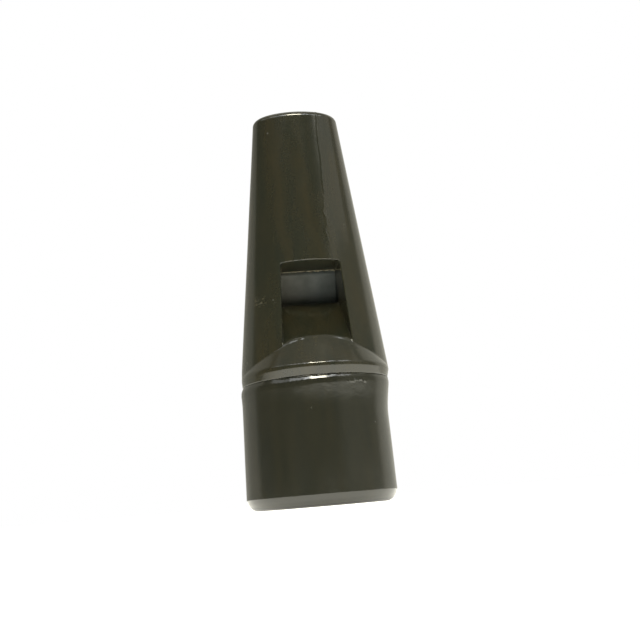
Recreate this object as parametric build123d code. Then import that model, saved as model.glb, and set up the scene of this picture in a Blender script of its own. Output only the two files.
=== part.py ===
from build123d import *
import math
import os

# Blown whistle with a tapering oval mouthpiece, a sounding window and a closed end cup.
# Millimetres. +Z runs from the flat base to the blowing end, and the window faces -Y.
# The origin is the middle of the base outline.

# Overall form
overall_length = 59.0
mouth_width = 12.8
mouth_depth = 8.0
mouth_rounding = 0.9
seam_height = 17.6
lip_radius = 10.85
lip_foot_radius = 10.5
lip_height = 1.4
body_depth_at_lip = 18.0
flare_slope = 0.57

# Window, ramp and labium
window_top = 34.6
window_bottom = 21.0
window_half_width_top = 4.36
window_half_width_bottom = 4.92
window_draft = 4.5
window_floor_y = -0.55
labium_height = 29.3
labium_y = -1.8
labium_thickness = 0.25
ramp_foot_height = 21.0
ramp_foot_y = -10.95
ramp_foot_side_y = -7.5
ramp_half_width = 6.0
ramp_core_back = 3.0
pocket_reach = 1.0

# Windway and the bore that holds the block
windway_roof_at_mouth = -0.95
windway_roof_at_window = -1.8
windway_floor_at_mouth = 0.75
windway_floor_at_window = -0.7
bore_half_width_at_mouth = 4.2
bore_half_width_at_window = 4.3
bore_back_at_mouth = 2.6
bore_back_at_window = 5.2
block_edge_height = 34.05
block_foot_height = 29.6
block_foot_y = 1.6
block_edge_chamfer = 0.2
block_cut_reach = 12.0

# Air chamber and spigot
chamber_radius = 7.4
chamber_straight_top = 20.0
chamber_top_back = 5.8
chamber_top_half_width = 4.4
chamber_corner = 1.6
spigot_radius = 8.7
spigot_foot = 12.6
spigot_lead_in = 0.4
bead_height = 14.4
bead_width = 1.2
bead_stand_out = 0.22
bead_root = 0.5

# End cup
cup_base_radius = 10.85
cup_top_radius = 10.45
cup_base_rounding = 1.7
cup_rim_radius = 10.65
cup_rim_land = 0.5
cup_rim_foot_radius = 9.9
cup_rim_foot_height = 15.4
cup_floor = 1.9
cup_floor_radius = 8.45
cup_inner_rounding = 1.0

# The cup's outside stands off the body's axis, half of it each way from the origin
core_shift = 0.45

lip_top = seam_height + lip_height


def half_width(z):
    """Half width of the body's oval section at height z."""
    share = (z - lip_top) / (overall_length - lip_top)
    return lip_radius + (mouth_width / 2 - lip_radius) * share


def half_depth(z):
    """Half depth of the body's oval section, front to back, at height z."""
    share = (z - lip_top) / (overall_length - lip_top)
    return (body_depth_at_lip + (mouth_depth - body_depth_at_lip) * share) / 2


def oval(z):
    return Plane.XY.offset(z) * Ellipse(half_width(z), half_depth(z))


def block_section(z, front, back, half):
    """Rectangle at height z, from front to back along Y."""
    centre = Location((0, (front + back) / 2, z))
    return centre * Rectangle(2 * half, back - front)


def body_outside():
    """Oval taper, conical flare down to the round lip that narrows to the seam, and the spigot."""
    taper = loft([oval(lip_top), oval(overall_length)], ruled=True)
    rim = taper.edges().group_by(Axis.Z)[-1]
    taper = fillet(rim, mouth_rounding)
    flare_height = lip_radius / flare_slope
    flare_angle = math.degrees(math.atan(flare_slope))
    flare = Pos(0, 0, lip_top) * extrude(Circle(lip_radius), flare_height, taper=flare_angle)
    lip_outline = Polyline(
        (0, seam_height), (lip_foot_radius, seam_height), (lip_radius, lip_top), (0, lip_top),
        close=True,
    )
    lip = revolve(Plane.XZ * make_face(lip_outline), Axis.Z)
    spigot = Pos(0, 0, spigot_foot) * extrude(Circle(spigot_radius), seam_height - spigot_foot)
    spigot = chamfer(spigot.edges().group_by(Axis.Z)[0], spigot_lead_in)
    return taper + flare + lip + spigot + snap_bead()


def snap_bead():
    """Low ring on the spigot that clicks into the cup."""
    half = bead_width / 2
    crest = spigot_radius + bead_stand_out
    root = spigot_radius - bead_root
    outline = Polyline(
        (root, bead_height - half), (spigot_radius, bead_height - half),
        (crest, bead_height - half / 3), (crest, bead_height + half / 3),
        (spigot_radius, bead_height + half), (root, bead_height + half), close=True,
    )
    return revolve(Plane.XZ * make_face(outline), Axis.Z)


def window_pocket():
    """Tapering pocket of the window, narrower inside because its walls have draft."""
    outer_y = -half_depth(window_top)
    draft = math.tan(math.radians(window_draft))

    def opening(y):
        inward = (y - outer_y) * draft
        top = window_top - inward
        upper = window_half_width_top - inward
        lower = window_half_width_bottom - inward
        return make_face(Polyline(
            (-upper, y, top), (upper, y, top), (lower, y, window_bottom), (-lower, y, window_bottom),
            close=True,
        ))

    return loft([opening(-lip_radius - pocket_reach), opening(window_floor_y)], ruled=True)


def ramp_core():
    """Solid under the ramp: a straight labium at its top, bowed like the flare at its foot."""
    edge = block_section(labium_height, labium_y, ramp_core_back, ramp_half_width)
    left = (-ramp_half_width, ramp_foot_side_y, ramp_foot_height)
    right = (ramp_half_width, ramp_foot_side_y, ramp_foot_height)
    right_back = (ramp_half_width, ramp_core_back, ramp_foot_height)
    left_back = (-ramp_half_width, ramp_core_back, ramp_foot_height)
    bow = ThreePointArc(left, (0, ramp_foot_y, ramp_foot_height), right)
    foot = make_face(bow + Polyline(right, right_back, left_back, left))
    return loft([foot, edge], ruled=True)


def air_chamber():
    """Round bore at the bottom that narrows to the throat behind the labium."""
    straight = chamber_straight_top - spigot_foot
    round_bore = Pos(0, 0, spigot_foot) * extrude(Circle(chamber_radius), straight)
    low = Pos(0, 0, chamber_straight_top) * Circle(chamber_radius)
    front = labium_y + labium_thickness
    throat = Location((0, (front + chamber_top_back) / 2, labium_height)) * RectangleRounded(
        2 * chamber_top_half_width, chamber_top_back - front, chamber_corner
    )
    return round_bore + loft([low, throat])


def wind_bore():
    """Passage from the blowing end to the throat, before the block is put in."""
    mouth = block_section(
        overall_length, windway_roof_at_mouth, bore_back_at_mouth, bore_half_width_at_mouth
    )
    window = block_section(
        block_edge_height, windway_roof_at_window, bore_back_at_window, bore_half_width_at_window
    )
    throat_front = labium_y + labium_thickness
    throat = block_section(labium_height, throat_front, chamber_top_back, chamber_top_half_width)
    upper = loft([window, mouth], ruled=True)
    lower = loft([throat, window], ruled=True)
    return upper + lower


def whistle_body():
    pocket = window_pocket() - ramp_core()
    return body_outside() - wind_bore() - air_chamber() - pocket


def fipple_block():
    """Wedge that fills the back of the passage and leaves the windway in front of it."""
    side_view = Polyline(
        (windway_floor_at_mouth, overall_length),
        (windway_floor_at_window, block_edge_height + block_edge_chamfer),
        (windway_floor_at_window + block_edge_chamfer, block_edge_height),
        (block_foot_y, block_foot_height),
        (block_cut_reach, block_foot_height),
        (block_cut_reach, overall_length),
        close=True,
    )
    profile = make_face(Plane.YZ * side_view)
    return wind_bore() & extrude(profile, block_cut_reach, both=True)


def cup_rim():
    """Ring round the cup's mouth, under the body's lip, that narrows downwards to the wall."""
    outline = Polyline(
        (0, cup_rim_foot_height), (cup_rim_foot_radius, cup_rim_foot_height),
        (cup_rim_radius, seam_height - cup_rim_land), (cup_rim_radius, seam_height),
        (0, seam_height), close=True,
    )
    return revolve(Plane.XZ * make_face(outline), Axis.Z)


def end_cup():
    """Closed cup: straight walls with slight draft, a rounded base edge and a flared rim."""
    outline = Polyline(
        (0, seam_height), (0, 0), (cup_base_radius, 0), (cup_top_radius, seam_height), close=True
    )
    outside = revolve(Plane.XZ * make_face(outline), Axis.Z)
    outside = fillet(outside.edges().group_by(Axis.Z)[0], cup_base_rounding)
    outside = Pos(-core_shift, 0, 0) * outside + cup_rim()
    hollow_outline = Polyline(
        (0, cup_floor), (cup_floor_radius, cup_floor), (spigot_radius, spigot_foot),
        (spigot_radius, seam_height), (0, seam_height), close=True,
    )
    hollow = revolve(Plane.XZ * make_face(hollow_outline), Axis.Z)
    hollow = fillet(hollow.edges().group_by(Axis.Z)[0], cup_inner_rounding)
    return outside - hollow - snap_bead()


def build():
    """The three pieces, made round the body's axis and moved so that the origin is in the middle."""
    centring = Pos(core_shift / 2, 0, 0)
    return {
        "whistle_body": centring * whistle_body(),
        "fipple_block": centring * fipple_block(),
        "end_cup": centring * end_cup(),
    }


os.makedirs("parts", exist_ok=True)
for name, shape in build().items():
    export_step(shape, f"parts/{name}.step")
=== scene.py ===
"""Looks of a blown training whistle: a tapering moulded body, the wedge block in it and its end cup.

The three pieces are made as smooth solids from distance formulas in millimetres, with every edge
rounded as a mould leaves it, and are meshed at those sizes in the frame's own place.
"""

import math

import bpy
import numpy as np
import openvdb
from mathutils import Matrix, Vector


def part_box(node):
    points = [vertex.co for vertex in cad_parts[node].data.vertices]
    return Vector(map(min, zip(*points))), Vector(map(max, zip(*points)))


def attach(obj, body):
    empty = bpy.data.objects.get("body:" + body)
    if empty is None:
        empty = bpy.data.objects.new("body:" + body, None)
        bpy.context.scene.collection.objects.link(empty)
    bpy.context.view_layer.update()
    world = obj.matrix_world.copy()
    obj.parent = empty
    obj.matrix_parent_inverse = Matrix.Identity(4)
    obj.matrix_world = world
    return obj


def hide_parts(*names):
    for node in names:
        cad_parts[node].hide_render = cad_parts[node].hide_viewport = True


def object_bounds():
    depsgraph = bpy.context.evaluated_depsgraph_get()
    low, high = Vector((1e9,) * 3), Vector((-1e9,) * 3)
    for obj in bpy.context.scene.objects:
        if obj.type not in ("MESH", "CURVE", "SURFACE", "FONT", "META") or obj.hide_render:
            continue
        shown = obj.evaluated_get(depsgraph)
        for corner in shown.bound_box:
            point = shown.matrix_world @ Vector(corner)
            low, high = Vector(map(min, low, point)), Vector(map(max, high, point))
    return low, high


MM = 0.001

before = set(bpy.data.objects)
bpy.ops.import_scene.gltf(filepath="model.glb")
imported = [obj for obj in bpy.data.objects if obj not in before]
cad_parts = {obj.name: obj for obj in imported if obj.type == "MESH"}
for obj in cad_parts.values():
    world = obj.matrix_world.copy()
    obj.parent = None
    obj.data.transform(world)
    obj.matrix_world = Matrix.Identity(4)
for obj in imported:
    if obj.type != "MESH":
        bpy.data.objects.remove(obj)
cad_low, cad_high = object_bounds()

# Sizes in millimetres, as the CAD model has them. Shapes are given about the body's own axis.
LENGTH = cad_high.z / MM
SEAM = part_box("end_cup")[1].z / MM
SPIGOT_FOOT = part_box("whistle_body")[0].z / MM
CORE_SHIFT = 0.45
BODY_AXIS_X = CORE_SHIFT / 2

MOUTH_HALF_WIDTH = 6.4
MOUTH_HALF_DEPTH = 4.0
MOUTH_ROUNDING = 0.9
LIP_RADIUS = 10.85
LIP_FOOT_RADIUS = 10.5
LIP_TOP = 19.0
LIP_HALF_DEPTH = 9.0
FLARE_SLOPE = 0.57

WINDOW_TOP = 34.6
WINDOW_BOTTOM = 21.0
WINDOW_HALF_TOP = 4.36
WINDOW_HALF_BOTTOM = 4.92
WINDOW_DRAFT = math.tan(math.radians(4.5))
WINDOW_FLOOR = -0.55
LABIUM_HEIGHT = 29.3
LABIUM_Y = -1.8
LABIUM_THICKNESS = 0.25
RAMP_FOOT = 21.0
RAMP_MIDDLE_Y = -10.95
RAMP_SIDE_Y = -7.5
RAMP_HALF = 6.0

BLOCK_EDGE = 34.05
BLOCK_FOOT = 29.6
BLOCK_FOOT_Y = 1.6
ROOF_MOUTH, ROOF_WINDOW = -0.95, -1.8
FLOOR_MOUTH, FLOOR_WINDOW = 0.75, -0.7
BORE_HEIGHTS = (LABIUM_HEIGHT, BLOCK_EDGE, LENGTH)
BORE_FRONTS = (LABIUM_Y + LABIUM_THICKNESS, ROOF_WINDOW, ROOF_MOUTH)
BORE_BACKS = (5.8, 5.2, 2.6)
BORE_HALVES = (4.4, 4.3, 4.2)

CHAMBER_RADIUS = 7.4
CHAMBER_STRAIGHT_TOP = 20.0
CHAMBER_TOP_BACK = 5.8
CHAMBER_TOP_HALF = 4.4
CHAMBER_CORNER = 1.6
SPIGOT_RADIUS = 8.7
BEAD_HEIGHT = 14.4
BEAD_STAND_OUT = 0.22

CUP_BASE_RADIUS = 10.85
CUP_TOP_RADIUS = 10.45
CUP_BASE_ROUNDING = 1.7
CUP_RIM_RADIUS = 10.65
CUP_RIM_LAND = 0.5
CUP_RIM_FOOT_RADIUS = 9.9
CUP_RIM_FOOT = 15.4
CUP_FLOOR = 1.9
CUP_FLOOR_RADIUS = 8.45

# Y where the window's half widths are taken: about that of the body's front at the window's top
WINDOW_FACE_Y = -7

# The bead's half height, as a multiple of how far it stands out
BEAD_STRETCH = 2

# How much less the lip narrows on the left, where the cup's off-centre wall stands flush with it
LEFT_STEP = 0.25
LEFT_STEP_START = 5
LEFT_STEP_RUN = 5.5

# Edges, as the moulds leave them
LIP_ROUNDING = 0.22
SEAM_ROUNDING = 0.06
FLARE_FILLET = 0.05
SPIGOT_ROUNDING = 0.35
PASSAGE_CORNER = 0.12
OPENING_ROUNDING = 0.14
WINDOW_CORNER = 0.3
WINDOW_BACK_ROUNDING = 0.1
LABIUM_ROUNDING = 0.12
BLOCK_ROUNDING = 0.12
BLOCK_END_ROUNDING = 0.15
CUP_RIM_ROUNDING = 0.6
CUP_RIM_FILLET = 1.5
CUP_SEAM_ROUNDING = 0.05
CUP_MOUTH_ROUNDING = 0.1
CUP_INNER_ROUNDING = 1.0

# Bevel round the outside of the cup's mouth: its radius at the seam, its slope and its own rounding
CUP_EDGE_RADIUS = 10.46
CUP_EDGE_SLOPE = 0.45
CUP_EDGE_ROUNDING = 0.25

# Marks of the moulding and of use, about the body's own axis
SURFACE_UNEVENNESS = 0.012
LIP_UNEVENNESS = 0.008
LINE_X = 3.1
LINE_FOOT = 45.5
RIPPLE_X = 2.85
RIPPLE_HEIGHT = 40.5
SECOND_RIPPLE_OFFSET = 0.45
SCUFF = (-7.5, -4.9, 29.3)
FLASH_HANG = 0.48
FLASH_HALF_THICKNESS = 0.14
WELD_THICKNESS = 0.06
SMEAR_DROP = 1.1
SMEAR_THICKNESS = 0.07
SMEAR_LEFT, SMEAR_RIGHT = 3.4, 6.2

# Shares that turn a distance across a sloping face into about the distance square to it
RAMP_SQUARE = 0.69
CHAMBER_SQUARE = 0.85


# Distance formulas. They take arrays of x, y and z in millimetres and are negative inside.


def round_or(a, b, radius):
    """Union of two shapes with a fillet of that radius in the corner between them."""
    u = np.maximum(radius - a, 0)
    v = np.maximum(radius - b, 0)
    return np.maximum(radius, np.minimum(a, b)) - np.sqrt(u * u + v * v)


def round_and(a, b, radius):
    """Where two shapes overlap, with their common edge rounded to that radius."""
    return -round_or(-a, -b, radius)


def round_cut(a, b, radius):
    """The first shape without the second, with the new edge rounded to that radius."""
    return round_and(a, -b, radius)


def off_axis(x, y):
    return np.sqrt(x * x + y * y)


def slab(v, low, high):
    return np.maximum(low - v, v - high)


def bell(off, width, power=2):
    """1 in the middle and nearly 0 beyond that width. A higher power makes the top flatter."""
    return np.exp(-((off / width) ** power))


def wobble(v, *terms):
    """Sum of sine waves along v, each given as its height, frequency and phase."""
    return sum(height * np.sin(frequency * v + phase) for height, frequency, phase in terms)


def waves(x, y, z, scale, seed):
    """Gentle unevenness between about -1 and 1, with features about as long as scale."""
    rng = np.random.default_rng(seed)
    total = 0
    for _ in range(7):
        direction = rng.normal(size=3)
        direction *= rng.uniform(0.6, 1.6) * 2 * math.pi / scale / np.linalg.norm(direction)
        phase = rng.uniform(0, 2 * math.pi)
        total = total + np.sin(direction[0] * x + direction[1] * y + direction[2] * z + phase)
    return total / 3.5


def oval_taper(x, y, z):
    """Oval section that narrows evenly from the lip to the mouth."""
    share = (z - LIP_TOP) / (LENGTH - LIP_TOP)
    a = np.maximum(LIP_RADIUS + (MOUTH_HALF_WIDTH - LIP_RADIUS) * share, 1)
    b = np.maximum(LIP_HALF_DEPTH + (MOUTH_HALF_DEPTH - LIP_HALF_DEPTH) * share, 1)
    level = np.sqrt((x / a) ** 2 + (y / b) ** 2) + 1e-6
    slope = np.sqrt((x / a**2) ** 2 + (y / b**2) ** 2) / level + 1e-6
    return np.maximum((level - 1) / slope, -b)


def left_step(x):
    return LEFT_STEP * np.clip((-x - LEFT_STEP_START) / LEFT_STEP_RUN, 0, 1)


def body_outside(x, y, z):
    """Oval taper, conical flare, the lip that narrows to the seam, and the spigot with its bead."""
    r = off_axis(x, y)
    taper = round_and(oval_taper(x, y, z), z - LENGTH, MOUTH_ROUNDING)
    cone = (r - LIP_RADIUS + FLARE_SLOPE * (z - LIP_TOP)) / math.hypot(1, FLARE_SLOPE)
    inset = (LIP_RADIUS - LIP_FOOT_RADIUS - left_step(x)) / (LIP_TOP - SEAM)
    lip = r - LIP_RADIUS + (LIP_TOP - z) * inset
    upper = round_or(taper, cone, FLARE_FILLET)
    upper = round_and(upper, lip + LIP_UNEVENNESS * waves(x, y, z, 4, 8), LIP_ROUNDING)
    upper = round_and(upper, SEAM - z, SEAM_ROUNDING)
    spigot = round_and(r - SPIGOT_RADIUS, slab(z, SPIGOT_FOOT, SEAM + 1), SPIGOT_ROUNDING)
    bead = np.hypot(r - SPIGOT_RADIUS, (z - BEAD_HEIGHT) / BEAD_STRETCH) - BEAD_STAND_OUT
    return np.minimum(upper, np.minimum(spigot, bead))


def ramp_front(x, z):
    """Y of the ramp's face: straight at the labium and bowed like the flare at its foot."""
    bow = RAMP_SIDE_Y - RAMP_MIDDLE_Y
    foot = RAMP_MIDDLE_Y + bow * (x / RAMP_HALF) ** 2
    down = (LABIUM_HEIGHT - z) / (LABIUM_HEIGHT - RAMP_FOOT)
    return LABIUM_Y + (foot - LABIUM_Y) * down


def window_cut(x, y, z):
    """Pocket of the window, narrower inside, down to the ramp and its labium."""
    inward = (y - WINDOW_FACE_Y) * WINDOW_DRAFT
    down = (WINDOW_TOP - z) / (WINDOW_TOP - WINDOW_BOTTOM)
    half = WINDOW_HALF_TOP + (WINDOW_HALF_BOTTOM - WINDOW_HALF_TOP) * down - inward
    opening = round_and(np.abs(x) - half, z - WINDOW_TOP + inward, WINDOW_CORNER)
    opening = np.maximum(opening, WINDOW_BOTTOM - z)
    opening = round_and(opening, y - WINDOW_FLOOR, WINDOW_BACK_ROUNDING)
    ramp = (ramp_front(x, z) - y) * RAMP_SQUARE
    return round_cut(opening, np.maximum(ramp, z - LABIUM_HEIGHT), LABIUM_ROUNDING)


def wind_bore(x, y, z):
    """Flat passage from the mouth down to the throat, which the block fills in part."""
    front = np.interp(z, BORE_HEIGHTS, BORE_FRONTS)
    back = np.interp(z, BORE_HEIGHTS, BORE_BACKS)
    half = np.interp(z, BORE_HEIGHTS, BORE_HALVES)
    section = round_and(np.abs(x) - half, slab(y, front, back), PASSAGE_CORNER)
    return np.maximum(section, LABIUM_HEIGHT - z)


def air_chamber(x, y, z):
    """Round bore that narrows to the throat behind the labium."""
    up = np.clip((z - CHAMBER_STRAIGHT_TOP) / (LABIUM_HEIGHT - CHAMBER_STRAIGHT_TOP), 0, 1)
    front = -CHAMBER_RADIUS + (LABIUM_Y + LABIUM_THICKNESS + CHAMBER_RADIUS) * up
    back = CHAMBER_RADIUS + (CHAMBER_TOP_BACK - CHAMBER_RADIUS) * up
    half = CHAMBER_RADIUS + (CHAMBER_TOP_HALF - CHAMBER_RADIUS) * up
    corner = CHAMBER_RADIUS + (CHAMBER_CORNER - CHAMBER_RADIUS) * up
    u = np.abs(x) - half + corner
    v = np.abs(y - (front + back) / 2) - (back - front) / 2 + corner
    rounded = np.sqrt(np.maximum(u, 0) ** 2 + np.maximum(v, 0) ** 2)
    section = rounded + np.minimum(np.maximum(u, v), 0) - corner
    return np.maximum(section * CHAMBER_SQUARE, z - LABIUM_HEIGHT)


def sink_marks(x, y, z):
    """Height of the line down the front from the mouth, of the ripples at its end, and of a scuff."""
    on_front = 1 / (1 + np.exp(np.clip(4 * (y + 1), -30, 30)))
    line = bell(x - LINE_X - wobble(z, (0.05, 0.9, 0)), 0.16) * (0.5 + 0.5 * np.tanh(z - LINE_FOOT))
    course = RIPPLE_X + wobble(z, (0.16, 1.9, 0), (0.07, 4.3, 0))
    ripple = bell(x - course, 0.2) * bell(z - RIPPLE_HEIGHT, 3.2, 4)
    second = bell(x - course - SECOND_RIPPLE_OFFSET, 0.16) * bell(z - RIPPLE_HEIGHT + 1, 2.6, 4)
    scuff = bell(x - SCUFF[0], 0.5) * bell(z - SCUFF[2], 0.8) * waves(x, y, z, 0.9, 21)
    return on_front * (0.036 * line + 0.036 * ripple + 0.018 * second + 0.05 * scuff)


def flash(x, y, z):
    """Ragged sheet that hangs from the windway's outer edge into the window."""
    foot = WINDOW_TOP - FLASH_HANG - wobble(x, (0.07, 5.3, 0), (0.05, 13, 1), (0.04, 29, 0))
    sheet = np.maximum(np.abs(y - ROOF_WINDOW + 0.05) - FLASH_HALF_THICKNESS, foot - z)
    return np.maximum(sheet, np.maximum(z - WINDOW_TOP - 0.1, np.abs(x) - WINDOW_HALF_TOP + 0.3))


def whistle_body(x, y, z):
    outside = body_outside(x, y, z) - sink_marks(x, y, z) + SURFACE_UNEVENNESS * waves(x, y, z, 9, 3)
    passage = round_or(wind_bore(x, y, z), air_chamber(x, y, z), 0.05)
    shape = round_cut(outside, passage, OPENING_ROUNDING)
    shape = round_cut(shape, window_cut(x, y, z), OPENING_ROUNDING)
    return round_or(shape, flash(x, y, z), 0.05)


def fipple_block(x, y, z):
    """Wedge behind the windway, with a rounded edge at the window and a raked foot."""
    floor_y = np.interp(z, (BLOCK_EDGE, LENGTH), (FLOOR_WINDOW, FLOOR_MOUTH))
    rake_length = math.hypot(BLOCK_FOOT_Y - FLOOR_WINDOW, BLOCK_EDGE - BLOCK_FOOT)
    rake = (BLOCK_EDGE - z) * (BLOCK_FOOT_Y - FLOOR_WINDOW)
    rake = (rake - (y - FLOOR_WINDOW) * (BLOCK_EDGE - BLOCK_FOOT)) / rake_length
    inside = round_and(wind_bore(x, y, z), floor_y - y, BLOCK_ROUNDING)
    inside = round_and(inside, slab(z, BLOCK_FOOT, LENGTH), BLOCK_END_ROUNDING)
    return round_and(inside, rake, BLOCK_ROUNDING)


def cup_rim(x, y, z):
    """Ring at the seam with a soft upper edge, which narrows downwards to the cup's wall."""
    r = off_axis(x, y)
    slope = (CUP_RIM_RADIUS - CUP_RIM_FOOT_RADIUS) / (SEAM - CUP_RIM_LAND - CUP_RIM_FOOT)
    under = (r - CUP_RIM_FOOT_RADIUS - (z - CUP_RIM_FOOT) * slope) / math.hypot(1, slope)
    return round_and(under, r - CUP_RIM_RADIUS, CUP_RIM_ROUNDING)


def weld_line(outside, x, y, z):
    """Thin uneven line of squeezed-out plastic along the seam, with a smear to the right of the front."""
    thickness = WELD_THICKNESS + wobble(np.arctan2(y, x), (0.03, 7, 2), (0.03, 23, 0))
    line = np.hypot(off_axis(x, y) - CUP_EDGE_RADIUS, z - SEAM + 0.05) - thickness
    course = SEAM - SMEAR_DROP + wobble(x, (0.10, 2.9, 0), (0.07, 7, 1), (0.03, 16, 0))
    smear = np.hypot(outside, z - course) - SMEAR_THICKNESS - wobble(x, (0.025, 9, 0))
    stretch = slab(x, SMEAR_LEFT, SMEAR_RIGHT) + np.maximum(y, 0)
    return np.minimum(line, round_and(smear, stretch, 0.1))


def end_cup(x, y, z):
    """Closed cup whose outside stands off the body's axis and whose rim and hollow don't."""
    r = off_axis(x, y)
    wall = CUP_BASE_RADIUS + (CUP_TOP_RADIUS - CUP_BASE_RADIUS) * z / SEAM
    outside = round_or(off_axis(x + CORE_SHIFT, y) - wall, cup_rim(x, y, z), CUP_RIM_FILLET)
    outside = round_and(outside, -z, CUP_BASE_ROUNDING)
    edge = r - CUP_EDGE_RADIUS - left_step(x) + (z - SEAM) * CUP_EDGE_SLOPE
    edge = edge / math.hypot(1, CUP_EDGE_SLOPE)
    outside = round_and(outside, edge, CUP_EDGE_ROUNDING)
    outside = round_and(outside, z - SEAM, CUP_SEAM_ROUNDING)
    outside = round_or(outside, weld_line(outside, x, y, z), 0.08)
    outside = outside + SURFACE_UNEVENNESS * waves(x, y, z, 8, 5)
    hollow = np.interp(z, (CUP_FLOOR, SPIGOT_FOOT), (CUP_FLOOR_RADIUS, SPIGOT_RADIUS))
    inside = round_and(r - hollow, CUP_FLOOR - z, CUP_INNER_ROUNDING)
    return round_cut(outside, inside, CUP_MOUTH_ROUNDING)


# Meshing

SETTLING_STEPS = 4
LEAST_STEEPNESS = 0.2


def gradient(shape, points, step=0.01):
    """Slope of a distance formula at each point."""
    slopes = []
    for axis in range(3):
        shift = np.zeros(3)
        shift[axis] = step
        ahead = shape(*(points + shift).T)
        behind = shape(*(points - shift).T)
        slopes.append((ahead - behind) / (2 * step))
    return np.stack(slopes, axis=1)


def smooth_piece(name, shape, low, high, cell):
    """Meshes a distance formula, moves each vertex onto its surface and gives it that surface's normal."""
    centring = np.array((BODY_AXIS_X, 0, 0))
    band = 3 * cell
    low = np.array(low, float) - centring - band
    counts = np.ceil((np.array(high, float) - centring + band - low) / cell).astype(int) + 1
    axes = [low[i] + cell * np.arange(counts[i]) for i in range(3)]
    x, y, z = np.meshgrid(*axes, indexing="ij", sparse=True)
    field = np.broadcast_to(shape(x, y, z), counts)
    grid = openvdb.FloatGrid(band)
    grid.copyFromArray(np.clip(field, -band, band).astype(np.float32))
    points, quads = grid.convertToQuads(0.0)
    points = points.astype(float) * cell + low
    for _ in range(SETTLING_STEPS):
        slope = gradient(shape, points)
        steepness = np.maximum((slope**2).sum(axis=1), LEAST_STEEPNESS)
        move = slope * (shape(*points.T) / steepness)[:, None]
        points -= np.clip(move, -cell / 2, cell / 2)
    mesh = bpy.data.meshes.new(name)
    mesh.from_pydata(((points + centring) * MM).tolist(), [], quads.tolist())
    mesh.validate()
    mesh.update()
    mesh.shade_smooth()
    slope = gradient(shape, points)
    normals = slope / np.linalg.norm(slope, axis=1, keepdims=True)
    mesh.normals_split_custom_set_from_vertices(normals.tolist())
    piece = bpy.data.objects.new(name, mesh)
    bpy.context.scene.collection.objects.link(piece)
    return piece


def make_piece(name, shape, node, cell, material):
    """Meshes a piece in its CAD node's place, in cells of that many millimetres."""
    low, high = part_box(node)
    piece = smooth_piece(name, shape, low / MM, high / MM, cell)
    piece.data.materials.append(material)
    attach(piece, "root")
    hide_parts(node)
    return piece


# Materials

# Each plastic runs unevenly between a dark and a light tone, in linear colour.
BODY_TONES = ((0.018, 0.0200, 0.0128), (0.030, 0.0265, 0.0138))
CUP_TONES = ((0.0145, 0.0158, 0.0108), (0.022, 0.0212, 0.0132))
# The block's tones are painted light: lighter than the body's plastic, warm on the left and with a painted
# bluish reflection on the right
BLOCK_LEFT_PAINTED_LIGHT_TONES = ((0.056, 0.053, 0.034), (0.072, 0.069, 0.046))
BLOCK_RIGHT_PAINTED_LIGHT_TONES = ((0.030, 0.041, 0.038), (0.043, 0.053, 0.050))
BLOCK_CHANGE_FROM, BLOCK_CHANGE_TO = -5 * MM, 2 * MM
DUST = (0.09, 0.09, 0.08)
# Pale colour: flash made paler to paint the highlight at the window's top edge, and whitened scuff scratches
EDGE_HIGHLIGHT_AND_SCUFF_PALE = (0.30, 0.27, 0.19)


class Nodes:
    """Short calls for making and joining shader nodes."""

    def __init__(self, name):
        self.material = bpy.data.materials.new(name)
        self.material.use_nodes = True
        self.tree = self.material.node_tree
        self.shader = self.tree.nodes["Principled BSDF"]
        self.place = self.tree.nodes.new("ShaderNodeTexCoord").outputs["Object"]

    def add(self, kind, inputs=None, **settings):
        node = self.tree.nodes.new(kind)
        for key, value in settings.items():
            setattr(node, key, value)
        for key, value in (inputs or {}).items():
            self.join(value, node.inputs[key])
        return node

    def join(self, value, socket):
        if isinstance(value, bpy.types.NodeSocket):
            self.tree.links.new(value, socket)
        else:
            socket.default_value = value

    def stretched(self, scale):
        return self.add("ShaderNodeMapping", {"Vector": self.place, "Scale": scale}).outputs[0]

    def noise(self, scale, detail=3.0, where=None, distortion=0.0):
        inputs = {"Vector": where or self.place, "Scale": scale, "Detail": detail, "Distortion": distortion}
        return self.add("ShaderNodeTexNoise", inputs).outputs[0]

    def ramp(self, value, *stops):
        """A run through stops, each a position with a colour or a grey."""
        node = self.add("ShaderNodeValToRGB", {"Fac": value})
        elements = node.color_ramp.elements
        while len(elements) < len(stops):
            elements.new(0.5)
        for element, (position, colour) in zip(elements, stops):
            element.position = position
            grey = isinstance(colour, (int, float))
            element.color = (colour,) * 3 + (1,) if grey else (*colour, 1)
        return node.outputs[0]

    def mix(self, share, a, b):
        node = self.add("ShaderNodeMix", data_type="RGBA")
        self.join(share, node.inputs[0])
        for value, socket in ((a, node.inputs[6]), (b, node.inputs[7])):
            self.join(value if isinstance(value, bpy.types.NodeSocket) else (*value, 1), socket)
        return node.outputs[2]

    def math(self, operation, a, b=0.0):
        node = self.add("ShaderNodeMath", operation=operation)
        self.join(a, node.inputs[0])
        self.join(b, node.inputs[1])
        return node.outputs[0]

    def product(self, *values):
        total = values[0]
        for value in values[1:]:
            total = self.math("MULTIPLY", total, value)
        return total

    def near(self, value, centre, half):
        """1 near the centre and 0 away from it, with a soft change round that distance, in millimetres."""
        off = self.math("ABSOLUTE", self.math("SUBTRACT", value, centre * MM))
        limits = {1: half * 1.3 * MM, 2: half * 0.7 * MM}
        return self.add("ShaderNodeMapRange", {0: off, **limits}).outputs[0]

    def bump(self, height, strength, distance, normal=None):
        inputs = {"Height": height, "Strength": strength, "Distance": distance}
        if normal is not None:
            inputs["Normal"] = normal
        return self.add("ShaderNodeBump", inputs).outputs[0]


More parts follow.
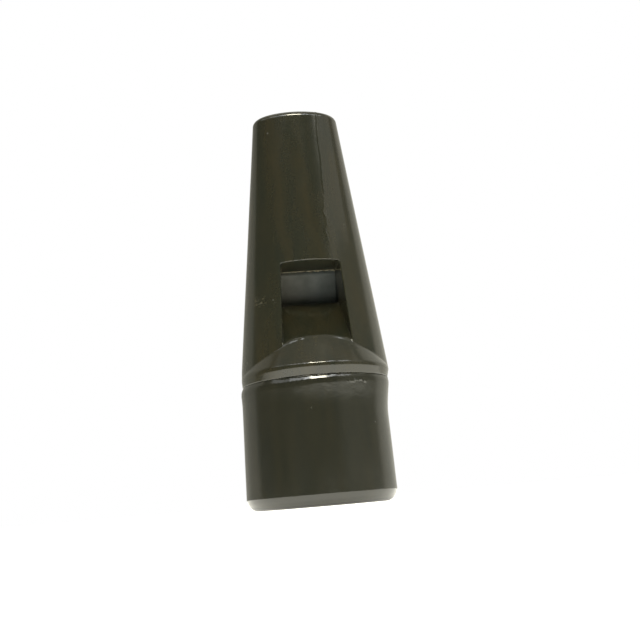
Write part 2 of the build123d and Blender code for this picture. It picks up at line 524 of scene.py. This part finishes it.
def moulded_plastic(name, tones, rough_low, rough_high, pale=None):
    """Glossy dark moulded plastic with flow streaks, smears and a few specks of dust."""
    dark, light = tones
    n = Nodes(name)
    streaks = n.noise(420, 4, n.stretched((1, 1, 0.16)), 0.4)
    mottle = n.noise(2600, 3)
    tone = n.math("ADD", n.product(streaks, 0.75), n.product(mottle, 0.25))
    colour = n.ramp(tone, (0.34, dark), (0.66, light))
    cells = n.add("ShaderNodeTexVoronoi", {"Vector": n.place, "Scale": 520.0}, feature="F1").outputs[0]
    chosen = n.ramp(n.noise(300, 0), (0.60, 0), (0.64, 1))
    colour = n.mix(n.product(n.ramp(cells, (0.05, 1), (0.09, 0)), chosen), colour, DUST)
    # Where the pale mask says, the colour turns pale: on the body this paints the highlight at the window's
    # top edge and whitens the scuff's scratches
    if pale:
        colour = n.mix(pale(n), colour, EDGE_HIGHLIGHT_AND_SCUFF_PALE)
    n.join(colour, n.shader.inputs["Base Color"])
    smears = n.noise(190, 5, n.stretched((1, 1, 0.5)), 0.8)
    rough = n.ramp(smears, (0.3, rough_low), (0.7, rough_high))
    n.join(rough, n.shader.inputs["Roughness"])
    orange_peel = n.bump(n.noise(900, 2), 0.12, 0.0001)
    fine_grain = n.bump(n.noise(3200, 2), 0.10, 0.00004, orange_peel)
    n.join(fine_grain, n.shader.inputs["Normal"])
    n.shader.inputs["IOR"].default_value = 1.6
    return n.material


def edge_highlight_and_scuff_mask(n):
    """Pale mask: a ragged pale flash along the windway's outer edge at the window, made pale enough to paint
    that edge's highlight, and faint whitened scratches at the scuff.
    """
    x, y, z = n.add("ShaderNodeSeparateXYZ", {0: n.place}).outputs
    at_highlight_edge = (n.near(y, ROOF_WINDOW, 0.4), n.near(z, WINDOW_TOP - 0.35, 0.45))
    across = n.near(x, BODY_AXIS_X, WINDOW_HALF_BOTTOM)
    ragged = n.ramp(n.noise(2400, 3), (0.36, 0.25), (0.56, 1))
    scuff_x, scuff_y, scuff_z = SCUFF
    at_scuff = (n.near(x, scuff_x + BODY_AXIS_X, 0.7), n.near(y, scuff_y, 2), n.near(z, scuff_z, 0.7))
    scratches = n.ramp(n.noise(1700, 4, n.stretched((1, 1, 2.4))), (0.52, 0), (0.66, 0.18))
    return n.math("ADD", n.product(*at_highlight_edge, across, ragged), n.product(*at_scuff, scratches))


def block_plastic():
    """Duller plastic, painted lighter than the body: warm grey on its left and blue-grey on its right. This
    stands in for the light and the bluish reflection on the block's face.
    """
    n = Nodes("block_plastic")
    mottle = n.noise(700, 5)
    x, y, z = n.add("ShaderNodeSeparateXYZ", {0: n.place}).outputs
    # Painted light changes from the warm left to the bluish right across the face
    across = n.add("ShaderNodeMapRange", {0: x, 1: BLOCK_CHANGE_FROM, 2: BLOCK_CHANGE_TO}).outputs[0]
    left, right = (
        n.ramp(mottle, (0.35, dark), (0.65, light)) for dark, light in (BLOCK_LEFT_PAINTED_LIGHT_TONES, BLOCK_RIGHT_PAINTED_LIGHT_TONES)
    )
    n.join(n.mix(across, left, right), n.shader.inputs["Base Color"])
    n.join(n.ramp(n.noise(400, 4), (0.3, 0.42), (0.7, 0.6)), n.shader.inputs["Roughness"])
    n.join(n.bump(n.noise(1500, 4), 0.25, 0.00006), n.shader.inputs["Normal"])
    n.shader.inputs["IOR"].default_value = 1.5
    return n.material


# Stage, light and camera

CAMERA_AZIMUTH = math.radians(5.4)
CAMERA_DISTANCE = 0.1321
CAMERA_HEIGHT = 0.0011
CAMERA_PITCH = math.radians(11.13)
CAMERA_YAW = math.radians(0.6)
CAMERA_ROLL = math.radians(-4.89)
CAMERA_LENS = 50.8


def place_camera():
    data = bpy.data.cameras.new("camera")
    data.lens = CAMERA_LENS
    data.clip_start, data.clip_end = 0.005, 10
    camera = bpy.data.objects.new("camera", data)
    bpy.context.scene.collection.objects.link(camera)
    heading = CAMERA_AZIMUTH + CAMERA_YAW
    forward = Vector((
        math.sin(heading) * math.cos(CAMERA_PITCH),
        math.cos(heading) * math.cos(CAMERA_PITCH),
        math.sin(CAMERA_PITCH),
    ))
    right = Vector((math.cos(heading), -math.sin(heading), 0))
    up = right.cross(forward)
    turned_right = right * math.cos(CAMERA_ROLL) + up * math.sin(CAMERA_ROLL)
    turned_up = up * math.cos(CAMERA_ROLL) - right * math.sin(CAMERA_ROLL)
    place = Matrix.Translation((
        BODY_AXIS_X * MM - CAMERA_DISTANCE * math.sin(CAMERA_AZIMUTH),
        -CAMERA_DISTANCE * math.cos(CAMERA_AZIMUTH),
        CAMERA_HEIGHT,
    ))
    turn = Matrix((turned_right, turned_up, -forward)).transposed().to_4x4()
    camera.matrix_world = place @ turn
    bpy.context.scene.camera = camera


LAMP_DISTANCE = 0.45

# How bright the room is round the whistle, by azimuth from the front, in degrees: -90 is its left.
ROOM = (
    (-180, 0.45),
    (-112, 0.45),
    (-104, 0.12),
    (-60, 0.10),
    (-35, 0.15),
    (-8, 0.13),
    (24, 0.12),
    (42, 0.36),
    (60, 0.36),
    (100, 0.28),
    (109, 0.78),
    (150, 0.80),
    (180, 0.45),
)

# How bright the room is overhead, and the sines of the elevations between which that takes over.
CEILING = 0.40
CEILING_START, CEILING_FULL = 0.72, 0.90
ROOM_COLOUR = (1, 0.98, 0.85, 1)

# Lamps high up in front, in an arc: azimuth, elevation and radiance
FRONT_LAMP_SIZE = (0.15, 0.08)
FRONT_ARC = ((-76, 47, 1.2), (-44, 51, 2.8), (-12, 54, 8.0), (20, 53, 6.0), (52, 48, 3.0))

# The floor, in metres from the middle of the whistle's base
FLOOR_RADIUS = 0.6
FLOOR_FADE_START, FLOOR_FADE_END = 0.03, 0.28
# The glow starts at the base's edge, so a thin painted contact shadow rings the base
GLOW_START, GLOW_FULL = 0.0100, 0.0109
FLOOR_GLOW = 1.6
GLOW_COLOUR = (1, 0.98, 0.89, 1)


def lamp(name, azimuth, elevation, size, radiance, colour=(1, 1, 1)):
    """A soft rectangular lamp that points at the whistle. Azimuth 0 is in front of it and 90 to its right."""
    data = bpy.data.lights.new(name, "AREA")
    data.shape = "RECTANGLE"
    data.size, data.size_y = size
    data.energy = radiance * math.pi * size[0] * size[1]
    data.color = colour
    item = bpy.data.objects.new(name, data)
    a, e = math.radians(azimuth), math.radians(elevation)
    towards = Vector((math.sin(a) * math.cos(e), -math.cos(a) * math.cos(e), math.sin(e)))
    item.location = towards * LAMP_DISTANCE + Vector((0, 0, LENGTH / 2 * MM))
    item.rotation_euler = towards.to_track_quat("Z", "Y").to_euler()
    item.visible_camera = False
    bpy.context.scene.collection.objects.link(item)


def surroundings():
    """White when seen directly. As light, it is dim in front of the whistle and brighter round the back."""
    world = bpy.data.worlds.new("studio")
    bpy.context.scene.world = world
    world.use_nodes = True
    tree = world.node_tree
    tree.nodes.clear()

    def node(kind, *inputs, **settings):
        made = tree.nodes.new(kind)
        for key, value in settings.items():
            setattr(made, key, value)
        for socket, value in zip(made.inputs, inputs):
            if isinstance(value, bpy.types.NodeSocket):
                tree.links.new(value, socket)
            else:
                socket.default_value = value
        return made

    direction = node("ShaderNodeTexCoord").outputs["Generated"]
    x, y, z = node("ShaderNodeSeparateXYZ", direction).outputs
    forward = node("ShaderNodeMath", y, -1.0, operation="MULTIPLY").outputs[0]
    azimuth = node("ShaderNodeMath", x, forward, operation="ARCTAN2").outputs[0]
    share = node("ShaderNodeMapRange", azimuth, -math.pi, math.pi, 0.0, 1.0).outputs[0]
    room = node("ShaderNodeValToRGB", share)
    elements = room.color_ramp.elements
    while len(elements) < len(ROOM):
        elements.new(0.5)
    for element, (angle, grey) in zip(elements, ROOM):
        element.position = (angle + 180) / 360
        element.color = (grey, grey, grey, 1)
    overhead = node(
        "ShaderNodeMapRange", z, CEILING_START, CEILING_FULL, 0.0, 1.0, interpolation_type="SMOOTHSTEP"
    )
    radiance = node("ShaderNodeMix", overhead.outputs[0], data_type="FLOAT")
    tree.links.new(room.outputs[0], radiance.inputs[2])
    radiance.inputs[3].default_value = CEILING
    light = node("ShaderNodeBackground", ROOM_COLOUR, radiance.outputs[0])
    seen = node("ShaderNodeBackground", (1, 1, 1, 1), 1.0)
    camera_ray = node("ShaderNodeLightPath").outputs["Is Camera Ray"]
    choose = node("ShaderNodeMixShader", camera_ray, light.outputs[0], seen.outputs[0])
    node("ShaderNodeOutputWorld", choose.outputs[0])


def floor():
    """Pale floor that fades into the white surroundings. It glows, except under the whistle's base, and the
    glow's start at the base's edge paints a thin contact shadow round the base.
    """
    ring = 96
    corners = [(0, 0, 0)]
    for i in range(ring):
        turn = 2 * math.pi * i / ring
        corners.append((FLOOR_RADIUS * math.cos(turn), FLOOR_RADIUS * math.sin(turn), 0))
    faces = [(0, 1 + i, 1 + (i + 1) % ring) for i in range(ring)]
    mesh = bpy.data.meshes.new("floor")
    mesh.from_pydata(corners, [], faces)
    item = bpy.data.objects.new("floor", mesh)
    bpy.context.scene.collection.objects.link(item)
    n = Nodes("floor")
    n.shader.inputs["Roughness"].default_value = 0.8
    paper = n.ramp(n.noise(30, 4), (0.3, 0.90), (0.7, 0.93))
    n.join(paper, n.shader.inputs["Base Color"])
    n.shader.inputs["Emission Color"].default_value = GLOW_COLOUR
    length = n.add("ShaderNodeVectorMath", {0: n.place}, operation="LENGTH").outputs["Value"]
    fade = n.ramp(length, (FLOOR_FADE_START, 1), (FLOOR_FADE_END, 0))
    n.join(fade, n.shader.inputs["Alpha"])
    glow = n.ramp(length, (GLOW_START, 0), (GLOW_FULL, 1))
    n.join(n.product(glow, FLOOR_GLOW), n.shader.inputs["Emission Strength"])
    mesh.materials.append(n.material)


def light_studio():
    """Soft lamps over the whistle, to its right and high up in front, where a warm one is the brightest."""
    lamp("overhead", 0, 98, (0.30, 0.06), 1.5, (1, 0.97, 0.86))
    lamp("side_panel", 63, 40, (0.32, 0.20), 0.34, (1, 0.99, 0.90))
    lamp("side_strip", 44, 42, (0.010, 0.12), 3.2, (1, 0.97, 0.84))
    for azimuth, elevation, radiance in FRONT_ARC:
        lamp("front_arc", azimuth, elevation, FRONT_LAMP_SIZE, radiance, (0.96, 0.99, 1))
    lamp("front_spot", 1, 54, FRONT_LAMP_SIZE, 24.0, (1, 0.93, 0.68))


place_camera()
surroundings()
light_studio()
floor()

body_material = moulded_plastic("body_plastic", BODY_TONES, 0.09, 0.17, edge_highlight_and_scuff_mask)
cup_material = moulded_plastic("cup_plastic", CUP_TONES, 0.10, 0.18)
make_piece("body_shell", whistle_body, "whistle_body", 0.18, body_material)
make_piece("wedge_block", fipple_block, "fipple_block", 0.12, block_plastic())
make_piece("cup_shell", end_cup, "end_cup", 0.2, cup_material)

bpy.context.scene.view_settings.view_transform = "Standard"
